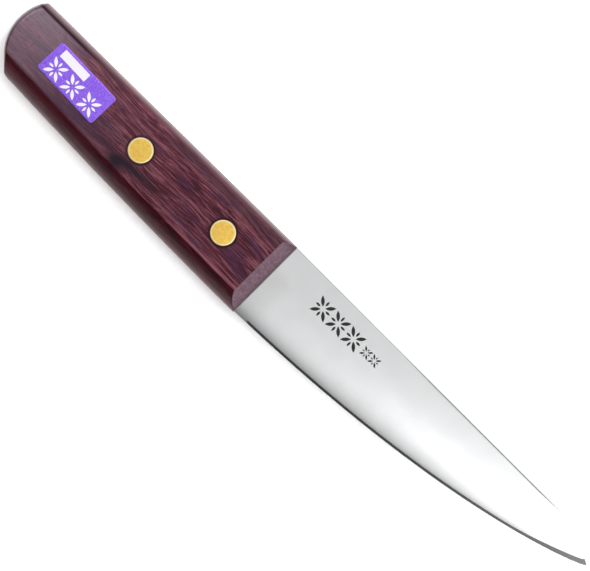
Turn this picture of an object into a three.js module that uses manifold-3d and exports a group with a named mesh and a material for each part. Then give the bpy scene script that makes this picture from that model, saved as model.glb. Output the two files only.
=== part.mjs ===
// A boning knife lying on its side: a single-piece steel blade whose partial tang sits in a kerf sawn
// into a one-piece wooden handle. Two cutler's rivets clamp the handle through the tang, a wooden
// strip fills the kerf behind it, and a label is stuck on the upper side of the handle.
//
// Sizes are millimetres. Everything is drawn in the knife's own frame: X = 0 is the front face of the
// handle and X grows toward the tip, Y grows toward the spine, and Z = 0 is the middle plane of the
// blade. The finished group is then moved so that the middle of its underside is the origin.

import * as THREE from 'three';
import { mergeVertices } from 'three/addons/utils/BufferGeometryUtils.js';
import Module from 'manifold-3d';

const wasm = await Module();
wasm.setup();

// ---- Driving dimensions ----

const GAP = 0.3; // between every two pieces that touch on the real knife

const BLADE_LENGTH = 149.7;
const BLADE_THICKNESS = 2.5; // at the handle
const TIP_THICKNESS = 1.3;
const SPINE_Y = 15.15;
const HEEL_EDGE_Y = -16.05;
const TIP_Y = 8.1;
const SPINE_TIP_RADIUS = 38.7; // the arc that carries the spine down to the tip

const HANDLE_LENGTH = 125.5;
const HANDLE_THICKNESS = 20;
const HANDLE_TOP_FRONT_Y = 15.4;
const HANDLE_TOP_BUTT_Y = 14.25;
const HANDLE_BELLY_Y = -16.5; // the lowest point of the handle's belly
const HANDLE_BELLY_X = -10;
const HANDLE_BELLY_RADIUS = 2640;
const BUTT_RADIUS = 18.4; // the round end seen from the side
const BUTT_CENTRE_Y = 3.6;
const BUTT_CORNER_CUT = 0.65; // how far inside that round a flat crosses its upper corner
const BUTT_ROUNDING = 3; // how far the edge of that round end is rounded over
const BUTT_FULLNESS = 2.5; // the exponent of the superellipse that rounds it

const TANG_LENGTH = 80;
const TANG_THICKNESS = 2.4;
const TANG_BELLY_Y = -9.3;
const SAW_RADIUS = 50; // the disc saw that cuts the kerf and leaves its round end
const SAW_X = -62;
const KERF_BACK_DEPTH = 0.15; // how far the steel and the filler lie below the top of the handle

const RIVET_X = { front: -22, rear: -62.6 };
const RIVET_Y = 0.55;
const RIVET_HEAD_RADIUS = 4.65;
const RIVET_HEAD_HEIGHT = 1.6;
const RIVET_TUBE_RADIUS = 2.6;
const RIVET_PIN_RADIUS = 1.6;

const LABEL_LENGTH = 27.5;
const LABEL_HEIGHT = 12.5;
const LABEL_THICKNESS = 0.2;
const LABEL_CORNER = 1;
const LABEL_CENTRE = new THREE.Vector2(-94.95, 1.45);
const LABEL_TILT = THREE.MathUtils.degToRad(-1.9);
const LABEL_LIFT = 0.05; // the adhesive under the label

// ---- Solids ----

// Any closed geometry as a manifold solid.
function solid(geometry) {
  const bare = geometry.clone();
  bare.deleteAttribute('normal');
  bare.deleteAttribute('uv');
  const merged = mergeVertices(bare, 1e-5);
  const mesh = new wasm.Mesh({
    numProp: 3,
    vertProperties: new Float32Array(merged.attributes.position.array),
    triVerts: new Uint32Array(merged.index.array),
  });
  return new wasm.Manifold(mesh);
}

// A manifold solid back as a three.js geometry.
function geometryOf(manifold) {
  const { vertProperties, triVerts } = manifold.getMesh();
  const geometry = new THREE.BufferGeometry();
  geometry.setAttribute('position', new THREE.BufferAttribute(vertProperties, 3));
  geometry.setIndex(new THREE.BufferAttribute(triVerts, 1));
  geometry.computeVertexNormals();
  return geometry;
}

// A closed body through convex rings of points, with a flat cap at each end. The rings follow each
// other along an axis and run counterclockwise seen from its far end.
function loft(rings) {
  const count = rings[0].length;
  const lastRing = (rings.length - 1) * count;
  const index = [];
  for (let start = 0; start < lastRing; start += count) {
    for (let i = 0; i < count; i++) {
      const here = start + i;
      const next = start + ((i + 1) % count);
      index.push(here, next, next + count, here, next + count, here + count);
    }
  }
  for (let i = 1; i < count - 1; i++) {
    index.push(0, i + 1, i);
    index.push(lastRing, lastRing + i, lastRing + i + 1);
  }
  const geometry = new THREE.BufferGeometry();
  geometry.setFromPoints(rings.flat());
  geometry.setIndex(index);
  return geometry;
}

// A shape drawn in the XY plane as a plate of the given thickness, centred on Z = 0.
function plate(shape, thickness, curveSegments = 24) {
  const geometry = new THREE.ExtrudeGeometry(shape, { depth: thickness, bevelEnabled: false, curveSegments });
  geometry.translate(0, 0, -thickness / 2);
  return geometry;
}

// Evenly spaced numbers from one end to the other, both included.
function spaced(from, to, steps) {
  return Array.from({ length: steps + 1 }, (_, i) => THREE.MathUtils.lerp(from, to, i / steps));
}

// ---- Lines that several pieces share ----

const KERF_FLOOR_Y = TANG_BELLY_Y - GAP;
const KERF_CENTRE_Y = KERF_FLOOR_Y + SAW_RADIUS; // the saw's axis when the cut is at its deepest
const FITTED_SAW_RADIUS = SAW_RADIUS - GAP; // the round ends of the pieces that lie in the kerf
const QUARTER_TURN = Math.PI / 2;

function handleTopY(x) {
  return THREE.MathUtils.lerp(HANDLE_TOP_FRONT_Y, HANDLE_TOP_BUTT_Y, -x / HANDLE_LENGTH);
}

function handleBellyY(x) {
  return HANDLE_BELLY_Y + (x - HANDLE_BELLY_X) ** 2 / (2 * HANDLE_BELLY_RADIUS);
}

// The back of the tang and of the filler strip, just under the top of the handle.
function kerfBackY(x) {
  return handleTopY(x) - KERF_BACK_DEPTH;
}

// How far round from its lowest point an arc about the saw's axis has climbed, at a height or at a place.
function sawAngleAtY(y, radius) {
  return Math.acos((KERF_CENTRE_Y - y) / radius);
}

function sawAngleAtX(x, radius) {
  return Math.asin((SAW_X - x) / radius);
}

// ---- Blade ----

const HEEL_X = GAP; // the blade's shoulder stands against the front face of the handle
const BLADE_END_X = BLADE_LENGTH - 0.2; // the very tip is blunt
const BEVEL_START_X = 5.6; // the heel ahead of the handle is left unsharpened
const BEVEL_FULL_X = 6.4;
const BEVEL_HEIGHT = 0.9;
const TIP_BEVEL_HEIGHT = 2;
const TIP_BEVEL_X = 132; // from here to the tip the bevel grows
const BEVEL_SLOPE = 0.29; // thickness gained over height, on the wide bevel
const BACK_BEVEL_SHARE = 0.5; // the back's bevel against the wide one
const HEEL_EDGE_THICKNESS = 0.8;
const SHARP_EDGE_THICKNESS = 0.1;
const GRIND_SHARE = 0.4; // the ground part of the face above the bevel
const GRIND_TOP_SHARE = 0.94; // its thickness at the top, against the spine's

const SPINE_DROP = SPINE_Y - TIP_Y;
const SPINE_ARC_START_X = BLADE_LENGTH - Math.sqrt(2 * SPINE_TIP_RADIUS * SPINE_DROP - SPINE_DROP ** 2);

// The cutting edge leaves the heel almost level and sweeps up to the tip.
const EDGE_CURVE = new THREE.CubicBezierCurve(
  new THREE.Vector2(0, HEEL_EDGE_Y),
  new THREE.Vector2(95, -13.7),
  new THREE.Vector2(144, 4.4),
  new THREE.Vector2(BLADE_LENGTH, TIP_Y),
);

function edgeY(x) {
  let low = 0;
  let high = 1;
  for (let halving = 0; halving < 40; halving++) {
    const middle = (low + high) / 2;
    if (EDGE_CURVE.getPoint(middle).x < x) {
      low = middle;
    } else {
      high = middle;
    }
  }
  return EDGE_CURVE.getPoint(low).y;
}

function spineY(x) {
  const along = Math.max(0, x - SPINE_ARC_START_X);
  return SPINE_Y - SPINE_TIP_RADIUS + Math.sqrt(SPINE_TIP_RADIUS ** 2 - along ** 2);
}

// The section of the blade at x. The side that faces up when the knife lies down carries the wide
// bevel, and the back a narrow one. The blade thins toward the tip, where the bevel takes it all.
function bladeRing(x) {
  const spine = spineY(x);
  const edge = edgeY(x);
  const height = spine - edge;
  const sharpened = THREE.MathUtils.clamp((x - BEVEL_START_X) / (BEVEL_FULL_X - BEVEL_START_X), 0, 1);
  const edgeHalf = THREE.MathUtils.lerp(HEEL_EDGE_THICKNESS, SHARP_EDGE_THICKNESS, sharpened) / 2;
  const taperedHalf = THREE.MathUtils.lerp(BLADE_THICKNESS, TIP_THICKNESS, x / BLADE_LENGTH) / 2;
  const half = Math.min(taperedHalf, edgeHalf + BEVEL_SLOPE * height);
  const toTip = THREE.MathUtils.smoothstep(x, TIP_BEVEL_X, BLADE_LENGTH);
  const bevel = Math.min(THREE.MathUtils.lerp(BEVEL_HEIGHT, TIP_BEVEL_HEIGHT, toTip), 0.9 * height);
  const bevelHalf = Math.min(edgeHalf + BEVEL_SLOPE * bevel, 0.9 * half);
  const grindTop = edge + bevel + GRIND_SHARE * (height - bevel);
  const section = [
    [spine, half],
    [grindTop, GRIND_TOP_SHARE * half],
    [edge + bevel, bevelHalf],
    [edge, edgeHalf],
    [edge, -edgeHalf],
    [edge + BACK_BEVEL_SHARE * bevel, -bevelHalf],
    [grindTop, -GRIND_TOP_SHARE * half],
    [spine, -half],
  ];
  return section.map(([y, z]) => new THREE.Vector3(x, y, z));
}

// The tang: its back lies along the top of the handle, its belly follows the floor of the kerf, and
// the rivets pass through it.
function tangOutline() {
  const rootX = HEEL_X + 0.1; // only just inside the blade, whose face slopes in under the tang's
  const sweep = sawAngleAtX(-TANG_LENGTH, FITTED_SAW_RADIUS);
  const shape = new THREE.Shape();
  shape.moveTo(rootX, TANG_BELLY_Y);
  shape.lineTo(rootX, kerfBackY(0));
  shape.lineTo(-TANG_LENGTH, kerfBackY(-TANG_LENGTH));
  shape.absarc(SAW_X, KERF_CENTRE_Y, FITTED_SAW_RADIUS, -QUARTER_TURN - sweep, -QUARTER_TURN, false);
  for (const x of Object.values(RIVET_X)) {
    shape.holes.push(new THREE.Path().absarc(x, RIVET_Y, RIVET_TUBE_RADIUS + GAP, 0, 4 * QUARTER_TURN, true));
  }
  return shape;
}

function makeBlade() {
  const stations = [
    HEEL_X,
    BEVEL_START_X,
    ...spaced(BEVEL_FULL_X, SPINE_ARC_START_X, 14),
    ...spaced(SPINE_ARC_START_X, BLADE_END_X, 10).slice(1),
  ];
  const blade = solid(loft(stations.map(bladeRing)));
  return blade.add(solid(plate(tangOutline(), TANG_THICKNESS)));
}

// ---- Handle ----

const HANDLE_HALF = HANDLE_THICKNESS / 2;
const UPPER_SHOULDER = 2.7; // from the top of the handle down to its flat side
const UPPER_SWEEP = THREE.MathUtils.degToRad(80);
const LOWER_SHOULDER = 5.8; // from the belly up to the flat side
const LOWER_SWEEP = THREE.MathUtils.degToRad(75);
const CHAMFER_LENGTH = 5.1; // along the knife
const CHAMFER_SLOPE = 1.2; // depth over length
const OVERSIZE = 2; // how far cutting tools reach beyond the wood
const PLAN_DEPTH = 50; // more than the handle is deep

// The rounded shoulder as an ellipse's arc, from the top or belly line at Z = 0 out to the flat side.
function shoulder(lineY, creaseY, sweep) {
  const wide = HANDLE_HALF / Math.sin(sweep);
  const tall = (lineY - creaseY) / (1 - Math.cos(sweep));
  return spaced(0, sweep, 8).map((angle) => [lineY - tall * (1 - Math.cos(angle)), wide * Math.sin(angle)]);
}

function handleRing(x) {
  const top = handleTopY(x);
  const belly = handleBellyY(x);
  const upper = shoulder(top, top - UPPER_SHOULDER, UPPER_SWEEP);
  const lower = shoulder(belly, belly + LOWER_SHOULDER, LOWER_SWEEP).reverse();
  const oneSide = [...upper, ...lower];
  const otherSide = oneSide.slice(1, -1).reverse();
  const section = [...oneSide, ...otherSide.map(([y, z]) => [y, -z])];
  return section.map(([y, z]) => new THREE.Vector3(x, y, z));
}

// The handle seen from above its back: square at the butt, chamfered on both sides at the front.
function planSolid() {
  const reach = HANDLE_HALF + OVERSIZE;
  const chamferX = -CHAMFER_LENGTH - OVERSIZE / CHAMFER_SLOPE;
  const nose = HANDLE_HALF - CHAMFER_LENGTH * CHAMFER_SLOPE;
  const buttCentreX = -HANDLE_LENGTH + BUTT_RADIUS;
  const plan = new THREE.Shape([
    new THREE.Vector2(buttCentreX, -reach),
    new THREE.Vector2(chamferX, -reach),
    new THREE.Vector2(0, -nose),
    new THREE.Vector2(0, nose),
    new THREE.Vector2(chamferX, reach),
    new THREE.Vector2(buttCentreX, reach),
  ]);
  return solid(plate(plan, PLAN_DEPTH).rotateX(QUARTER_TURN));
}

// The butt seen from the side, about the centre of its round: a flat across the upper corner, the round,
// and a straight run at 45 degrees to the belly. Both ends reach a little past the centre.
function buttOutline(radius) {
  const flatDistance = radius - BUTT_CORNER_CUT;
  const roundStart = 1.5 * QUARTER_TURN + Math.acos(flatDistance / radius);
  const roundAngles = [
    ...spaced(roundStart, 2 * QUARTER_TURN, 8),
    ...spaced(2 * QUARTER_TURN, 2.5 * QUARTER_TURN, 12).slice(1),
  ];
  return [
    [OVERSIZE, Math.SQRT2 * flatDistance + OVERSIZE],
    ...roundAngles.map((angle) => [radius * Math.cos(angle), radius * Math.sin(angle)]),
    [OVERSIZE, -Math.SQRT2 * radius - OVERSIZE],
  ];
}

// The rear end of the handle as a thick slab lying flat, whose rim is a superellipse.
function buttSolid() {
  const power = 2 / BUTT_FULLNESS;
  const rings = spaced(-QUARTER_TURN, QUARTER_TURN, 16).map((angle) => {
    const out = Math.cos(angle) ** power;
    const z = HANDLE_HALF * Math.sign(angle) * Math.abs(Math.sin(angle)) ** power;
    const outline = buttOutline(BUTT_RADIUS - BUTT_ROUNDING * (1 - out));
    return outline.map(([x, y]) => new THREE.Vector3(x, y, z));
  });
  return solid(loft(rings).translate(-HANDLE_LENGTH + BUTT_RADIUS, BUTT_CENTRE_Y, 0));
}

// The kerf: open at the front and along the top, with the saw's round end.
function kerfOutline() {
  const openY = HANDLE_TOP_FRONT_Y + OVERSIZE;
  const sweep = sawAngleAtY(openY, SAW_RADIUS);
  const shape = new THREE.Shape();
  shape.moveTo(OVERSIZE, KERF_FLOOR_Y);
  shape.lineTo(OVERSIZE, openY);
  shape.absarc(SAW_X, KERF_CENTRE_Y, SAW_RADIUS, -QUARTER_TURN - sweep, -QUARTER_TURN, false);
  return shape;
}

// One rivet's bore through the wood, with a seat for a head on each side.
function rivetBore(x) {
  const seatRadius = RIVET_HEAD_RADIUS + GAP;
  const boreRadius = RIVET_TUBE_RADIUS + GAP;
  const seatZ = HANDLE_HALF - RIVET_HEAD_HEIGHT - GAP;
  const profile = [
    new THREE.Vector2(0, -HANDLE_HALF - OVERSIZE),
    new THREE.Vector2(seatRadius, -HANDLE_HALF - OVERSIZE),
    new THREE.Vector2(seatRadius, -seatZ),
    new THREE.Vector2(boreRadius, -seatZ),
    new THREE.Vector2(boreRadius, seatZ),
    new THREE.Vector2(seatRadius, seatZ),
    new THREE.Vector2(seatRadius, HANDLE_HALF + OVERSIZE),
    new THREE.Vector2(0, HANDLE_HALF + OVERSIZE),
  ];
  const bore = new THREE.LatheGeometry(profile, 48).rotateX(QUARTER_TURN);
  return solid(bore.translate(x, RIVET_Y, 0));
}

function makeHandle() {
  const bar = solid(loft(spaced(-HANDLE_LENGTH - OVERSIZE, OVERSIZE, 16).map(handleRing)));
  const ends = planSolid().add(buttSolid());
  const kerf = solid(plate(kerfOutline(), TANG_THICKNESS + 2 * GAP, 32));
  const bores = rivetBore(RIVET_X.front).add(rivetBore(RIVET_X.rear));
  return bar.intersect(ends).subtract(kerf).subtract(bores);
}

// ---- Filler strip: closes the kerf between the end of the tang and the saw's round end ----

function makeFiller() {
  const startX = -TANG_LENGTH - GAP;
  const backY = kerfBackY(startX);
  const shallow = sawAngleAtY(backY, FITTED_SAW_RADIUS);
  const deep = sawAngleAtX(startX, FITTED_SAW_RADIUS);
  const shape = new THREE.Shape();
  shape.moveTo(startX, KERF_CENTRE_Y - FITTED_SAW_RADIUS * Math.cos(deep));
  shape.lineTo(startX, backY);
  shape.absarc(SAW_X, KERF_CENTRE_Y, FITTED_SAW_RADIUS, -QUARTER_TURN - shallow, -QUARTER_TURN - deep, false);
  return solid(plate(shape, TANG_THICKNESS));
}

// ---- Rivets: the male half's pin is pressed into the female half's tube ----

const HEAD_UNDERSIDE_Z = HANDLE_HALF - RIVET_HEAD_HEIGHT;

// A body of revolution about Z from its radius and height pairs, standing at a rivet's place.
function turned(profile, x) {
  const points = profile.map(([radius, z]) => new THREE.Vector2(radius, z));
  const body = new THREE.LatheGeometry(points, 48).rotateX(QUARTER_TURN);
  return solid(body.translate(x, RIVET_Y, 0));
}

function makeMaleRivet(x) {
  const pinEnd = -HEAD_UNDERSIDE_Z + GAP;
  return turned([
    [0, pinEnd],
    [RIVET_PIN_RADIUS, pinEnd],
    [RIVET_PIN_RADIUS, HEAD_UNDERSIDE_Z],
    [RIVET_HEAD_RADIUS, HEAD_UNDERSIDE_Z],
    [RIVET_HEAD_RADIUS, HANDLE_HALF],
    [0, HANDLE_HALF],
  ], x);
}

function makeFemaleRivet(x) {
  const tubeEnd = HEAD_UNDERSIDE_Z - GAP;
  const boreRadius = RIVET_PIN_RADIUS + GAP;
  return turned([
    [0, -HANDLE_HALF],
    [RIVET_HEAD_RADIUS, -HANDLE_HALF],
    [RIVET_HEAD_RADIUS, -HEAD_UNDERSIDE_Z],
    [RIVET_TUBE_RADIUS, -HEAD_UNDERSIDE_Z],
    [RIVET_TUBE_RADIUS, tubeEnd],
    [boreRadius, tubeEnd],
    [boreRadius, -HEAD_UNDERSIDE_Z],
    [0, -HEAD_UNDERSIDE_Z],
  ], x);
}

// ---- Label: a thin sheet with round corners, stuck on a little askew ----

function makeLabel() {
  const right = LABEL_LENGTH / 2 - LABEL_CORNER;
  const top = LABEL_HEIGHT / 2 - LABEL_CORNER;
  const shape = new THREE.Shape();
  shape.absarc(right, top, LABEL_CORNER, 0, QUARTER_TURN, false);
  shape.absarc(-right, top, LABEL_CORNER, QUARTER_TURN, 2 * QUARTER_TURN, false);
  shape.absarc(-right, -top, LABEL_CORNER, 2 * QUARTER_TURN, 3 * QUARTER_TURN, false);
  shape.absarc(right, -top, LABEL_CORNER, 3 * QUARTER_TURN, 4 * QUARTER_TURN, false);
  const sheet = plate(shape, LABEL_THICKNESS, 6);
  sheet.rotateZ(LABEL_TILT);
  sheet.translate(LABEL_CENTRE.x, LABEL_CENTRE.y, HANDLE_HALF + LABEL_LIFT + LABEL_THICKNESS / 2);
  return solid(sheet);
}

// ---- Assembly ----

const finish = {
  steel: { color: 0xc9ccd0, roughness: 0.32, metalness: 1 },
  rosewood: { color: 0x552c36, roughness: 0.38, metalness: 0 },
  brass: { color: 0xe0bd55, roughness: 0.28, metalness: 1 },
  violetPaper: { color: 0x7850eb, roughness: 0.5, metalness: 0 },
};

const parts = [
  { name: 'blade', body: makeBlade(), look: finish.steel },
  { name: 'handle', body: makeHandle(), look: finish.rosewood },
  { name: 'kerf_filler', body: makeFiller(), look: finish.rosewood },
  { name: 'handle_label', body: makeLabel(), look: finish.violetPaper },
];
for (const [place, x] of Object.entries(RIVET_X)) {
  parts.push({ name: `${place}_rivet_male`, body: makeMaleRivet(x), look: finish.brass });
  parts.push({ name: `${place}_rivet_female`, body: makeFemaleRivet(x), look: finish.brass });
}

const group = new THREE.Group();
for (const { name, body, look } of parts) {
  const material = new THREE.MeshStandardMaterial({ ...look, flatShading: true });
  const mesh = new THREE.Mesh(geometryOf(body), material);
  mesh.name = name;
  group.add(mesh);
}

const box = new THREE.Box3().setFromObject(group);
const middle = box.getCenter(new THREE.Vector3());
group.position.set(-middle.x, -middle.y, -box.min.z);
group.updateMatrixWorld(true);

export default group;
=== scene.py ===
"""A boning knife lying on its side: the finished surfaces and materials, built around its CAD frame.

Shapes are worked out in millimetres in the knife's own frame, as in the CAD source: X = 0 is the front
face of the handle and X grows toward the tip, Y grows toward the spine, and Z = 0 is the middle plane
of the blade. place() moves a point of that frame to metres in the CAD frame.
"""

import math

import bmesh
import bpy
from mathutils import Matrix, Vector


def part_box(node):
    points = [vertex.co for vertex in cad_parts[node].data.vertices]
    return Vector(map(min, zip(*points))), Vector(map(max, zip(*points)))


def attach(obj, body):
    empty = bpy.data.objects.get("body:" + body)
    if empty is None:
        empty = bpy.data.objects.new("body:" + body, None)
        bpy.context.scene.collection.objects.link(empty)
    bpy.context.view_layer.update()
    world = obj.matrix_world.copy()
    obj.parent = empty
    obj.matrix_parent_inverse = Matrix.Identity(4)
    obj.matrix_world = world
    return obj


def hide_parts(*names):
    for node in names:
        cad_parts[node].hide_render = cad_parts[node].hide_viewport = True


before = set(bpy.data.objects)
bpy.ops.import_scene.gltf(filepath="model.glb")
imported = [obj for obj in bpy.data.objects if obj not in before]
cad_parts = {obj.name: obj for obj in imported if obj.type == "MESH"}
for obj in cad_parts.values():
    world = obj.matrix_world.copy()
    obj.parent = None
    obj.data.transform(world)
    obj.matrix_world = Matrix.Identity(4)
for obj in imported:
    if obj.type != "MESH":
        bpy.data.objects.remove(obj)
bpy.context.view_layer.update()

# ---- Sizes, read from the frame where it has them ----

MM = 0.001
HANDLE_TOP_FRONT_Y = 15.36
HANDLE_TOP_BUTT_Y = 14.25
HANDLE_BELLY_Y = -16.5

handle_low, handle_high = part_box("handle")
blade_low, blade_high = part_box("blade")
ORIGIN = Vector((
    handle_high.x,
    handle_low.y - HANDLE_BELLY_Y * MM,
    (handle_low.z + handle_high.z) / 2,
))
HANDLE_LENGTH = (handle_high.x - handle_low.x) / MM
HANDLE_HALF = (handle_high.z - handle_low.z) / 2 / MM

BLADE_LENGTH = 149.7
BLADE_END_X = (blade_high.x - ORIGIN.x) / MM
SPINE_Y = 15.15
TIP_Y = 8.1
SPINE_TIP_RADIUS = 38.7  # the arc that carries the spine down to the tip
EDGE_CURVE = ((0, -16.05), (95, -13.7), (144, 4.4), (BLADE_LENGTH, TIP_Y))  # a cubic Bezier curve
BLADE_HALF = (blade_high.z - blade_low.z) / 2 / MM
TIP_HALF = 0.65
BEVEL_RUN_IN = (5.2, 5.9)  # where the bevel comes in, just ahead of the handle
BEVEL_HEIGHT = 0.95
TIP_BEVEL_HEIGHT = 2.0
TIP_BEVEL_X = 120  # where the bevel starts to grow toward the tip
BEVEL_SLOPE = 0.29

HANDLE_BELLY_X = -10  # the lowest place of the long arc that the belly follows
HANDLE_BELLY_RADIUS = 2640
UPPER_SHOULDER = 2.7  # how far the rounded shoulders reach down from the top and up from the belly
LOWER_SHOULDER = 5.8
BUTT_RADIUS = 18.4
BUTT_CENTRE = (BUTT_RADIUS - HANDLE_LENGTH, 3.6)
BUTT_CORNER_CUT = 0.65  # how far inside the round a flat crosses its upper corner
CHAMFER_LENGTH = 5.1
CHAMFER_SLOPE = 1.2

TANG_LENGTH = 80
TANG_HALF = 1.2
TANG_BELLY_Y = -9.3
SAW_RADIUS = 50  # the disc saw that cuts the kerf for the tang
SAW_X = -62
FIT = 0.05  # clearance between pieces that are glued or pressed together

RIVETS = ("front", "rear")
RIVET_HEAD_HEIGHT = 1.6
RIVET_TUBE_RADIUS = 2.6
RIVET_PIN_RADIUS = 1.6

LABEL_SIZE = (27.5, 12.5)
LABEL_CORNER = 1.0
LABEL_CENTRE = (-94.95, 1.45)
LABEL_TILT = math.radians(-1.9)


def place(x, y, z):
    """A point of the knife's frame, in millimetres, as metres in the CAD frame."""
    return ORIGIN + Vector((x, y, z)) * MM


def knife_point(point):
    """A point of the CAD frame, in metres, as millimetres in the knife's frame."""
    return (point - ORIGIN) / MM


def lerp(a, b, t):
    return a + (b - a) * t


def smoothstep(low, high, value):
    t = min(max((value - low) / (high - low), 0), 1)
    return t * t * (3 - 2 * t)


def smooth_min(a, b, width):
    """The smaller of two heights, with the crease between them rounded over that width."""
    overlap = max(width - abs(a - b), 0) / width
    return min(a, b) - overlap * overlap * width / 4


def spaced(low, high, steps):
    return [lerp(low, high, i / steps) for i in range(steps + 1)]


# ---- Mesh helpers ----


def new_piece(name, mesh):
    piece = bpy.data.objects.new(name, mesh)
    bpy.context.scene.collection.objects.link(piece)
    return piece


def piece_of(bm, name):
    """A new piece that takes over a bmesh."""
    mesh = bpy.data.meshes.new(name)
    bm.to_mesh(mesh)
    bm.free()
    return new_piece(name, mesh)


def loft(name, rings, sharp=(), slot_of=None):
    """A closed mesh through rings of points in the knife's frame, with a cap at each end.

    The points numbered in sharp keep a hard crease along the loft, and slot_of gives the material slot
    of the band of faces that starts at a point's number.
    """
    count = len(rings[0])
    last = (len(rings) - 1) * count
    faces = []
    slots = []
    for start in range(0, last, count):
        for i in range(count):
            following = start + (i + 1) % count
            faces.append((start + i, following, following + count, start + i + count))
            slots.append(slot_of(i) if slot_of else 0)
    faces.append(tuple(reversed(range(count))))
    faces.append(tuple(range(last, last + count)))
    slots += [0, 0]
    mesh = bpy.data.meshes.new(name)
    mesh.from_pydata([place(*point) for ring in rings for point in ring], [], faces)
    mesh.polygons.foreach_set("material_index", slots)
    mesh.polygons.foreach_set("use_smooth", [True] * len(faces))
    for edge in mesh.edges:
        a, b = (vertex % count for vertex in edge.vertices)
        edge.use_edge_sharp = a == b and a in sharp
    for cap in mesh.polygons[-2:]:
        cap.use_smooth = False
    return new_piece(name, mesh)


def plate(name, outline, half):
    """A flat plate of an outline in the XY plane, reaching half its thickness to each side of Z = 0."""
    bm = bmesh.new()
    face = bm.faces.new([bm.verts.new(place(x, y, -half)) for x, y in outline])
    grown = bmesh.ops.extrude_face_region(bm, geom=[face])["geom"]
    raised = [item for item in grown if isinstance(item, bmesh.types.BMVert)]
    bmesh.ops.translate(bm, verts=raised, vec=(0, 0, 2 * half * MM))
    bmesh.ops.recalc_face_normals(bm, faces=bm.faces)
    return piece_of(bm, name)


def turned(name, profile, x, y, segments=96):
    """A body of revolution about Z at a place.

    The profile is a list of radius and height pairs that starts and ends on the axis.
    """
    bm = bmesh.new()
    start, *rim, end = profile
    angles = [2 * math.pi * i / segments for i in range(segments)]
    loops = []
    for radius, z in rim:
        ring = [place(x + radius * math.cos(a), y + radius * math.sin(a), z) for a in angles]
        loops.append([bm.verts.new(point) for point in ring])
    poles = [bm.verts.new(place(x, y, z)) for _, z in (start, end)]
    for i in range(segments):
        j = (i + 1) % segments
        bm.faces.new((poles[0], loops[0][j], loops[0][i]))
        bm.faces.new((poles[1], loops[-1][i], loops[-1][j]))
        for lower, upper in zip(loops, loops[1:]):
            bm.faces.new((lower[i], lower[j], upper[j], upper[i]))
    bmesh.ops.recalc_face_normals(bm, faces=bm.faces)
    return piece_of(bm, name)


def cut(piece, operation, *tools):
    """Joins the tools to a piece or cuts them out of it, then removes them."""
    for tool in tools:
        change = piece.modifiers.new(operation, "BOOLEAN")
        change.operation = operation
        change.solver = "EXACT"
        change.object = tool
    bpy.context.view_layer.update()
    finished = piece.evaluated_get(bpy.context.evaluated_depsgraph_get())
    mesh = bpy.data.meshes.new_from_object(finished)
    piece.modifiers.clear()
    piece.data = mesh
    for tool in tools:
        bpy.data.objects.remove(tool)


def smooth_shaded(piece, degrees):
    """Shades a piece smooth, apart from edges that turn by more than some degrees."""
    piece.data.polygons.foreach_set("use_smooth", [True] * len(piece.data.polygons))
    piece.data.set_sharp_from_angle(angle=math.radians(degrees))


# ---- Lines of the knife ----


def bezier(axis, t):
    p, q, r, s = (point[axis] for point in EDGE_CURVE)
    return (1 - t) ** 3 * p + 3 * (1 - t) ** 2 * t * q + 3 * (1 - t) * t * t * r + t**3 * s


def edge_y(x):
    """The cutting edge at x: the Bezier curve's parameter is found by halving."""
    low, high = 0.0, 1.0
    for _ in range(40):
        t = (low + high) / 2
        if bezier(0, t) < x:
            low = t
        else:
            high = t
    return bezier(1, low)


SPINE_DROP = SPINE_Y - TIP_Y
SPINE_ARC_START_X = BLADE_LENGTH - math.sqrt(2 * SPINE_TIP_RADIUS * SPINE_DROP - SPINE_DROP**2)


def spine_y(x):
    along = max(0, x - SPINE_ARC_START_X)
    return SPINE_Y - SPINE_TIP_RADIUS + math.sqrt(SPINE_TIP_RADIUS**2 - along**2)


def handle_top_y(x):
    return lerp(HANDLE_TOP_FRONT_Y, HANDLE_TOP_BUTT_Y, -x / HANDLE_LENGTH)


def handle_belly_y(x):
    return HANDLE_BELLY_Y + (x - HANDLE_BELLY_X) ** 2 / (2 * HANDLE_BELLY_RADIUS)


def saw_arc(radius, start, end, steps=40):
    """Points on an arc about the saw's axis, from one angle past its lowest point to another."""
    centre_y = TANG_BELLY_Y + SAW_RADIUS
    angles = spaced(start, end, steps)
    return [(SAW_X - radius * math.sin(a), centre_y - radius * math.cos(a)) for a in angles]


def saw_angle_at(y, radius):
    return math.acos((TANG_BELLY_Y + SAW_RADIUS - y) / radius)


def rivet_centre(end):
    """The middle of the front or rear rivet's male half, in the knife's frame."""
    low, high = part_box(f"{end}_rivet_male")
    return knife_point((low + high) / 2)


def rivet_radius(end):
    low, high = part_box(f"{end}_rivet_male")
    return (high.x - low.x) / 2 / MM


# ---- Blade ----

FACE_SLOT, BEVEL_SLOT, SPINE_SLOT = range(3)
BLADE_START_X = FIT
BEVEL_LIMIT = 0.92  # the most of the blade's height that the bevel takes
ROUNDING_LIMIT = 0.3  # the most of a thin section that a rounding takes
SHARP_EDGE_HALF = 0.02
GRIND_POWER = 2.2  # how the face curves from the spine to the bevel
LAST_CURVE = 0.17  # the extra roundness just behind the bevel
LAST_CURVE_REACH = 3.0
BACK_BEVEL_SHARE = 0.5
SPINE_ROUNDING = (0.4, 0.16)  # how far the eased corners of the spine reach down the face and into it
SPINE_SHARES = (0.6, 1.5, 0.3)  # how much of that there is by the handle, further out and at the tip
SPINE_WIDENS = (48, 68)  # where the first share gives way to the second
SPINE_NARROWS = (118, 132)  # and where the second gives way to the third

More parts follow.
